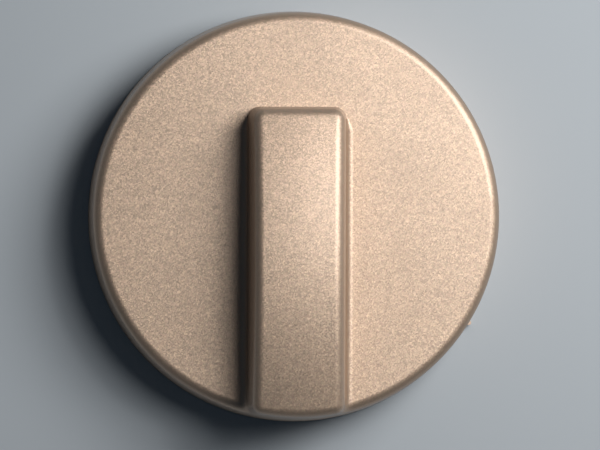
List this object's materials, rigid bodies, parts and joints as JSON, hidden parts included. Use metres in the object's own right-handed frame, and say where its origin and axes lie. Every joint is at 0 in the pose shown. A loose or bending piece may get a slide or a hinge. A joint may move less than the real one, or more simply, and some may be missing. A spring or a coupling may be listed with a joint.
{
  "type": "control knob",
  "caption": "Round push-on control knob: a drafted disc with a deep skirt and a raised straight grip bar out to the rim, with a keyed socket for a D-shaped shaft.",
  "frame": {"origin": "middle of the skirt's rim plane, where the knob's axis meets the panel", "axes": "+Z out of the face along the shaft's axis, -Y along the grip bar to its end at the rim"},
  "size_m": [0.045, 0.045, 0.0186],
  "materials": {
    "metallic_paint": "satin champagne-silver metallic paint on a moulded plastic shell",
    "spring_steel": "plain rolled spring steel"
  },
  "bodies": {
    "root": {"knob_body": "metallic_paint", "shaft_spring": "spring_steel"}
  },
  "joints": []
}
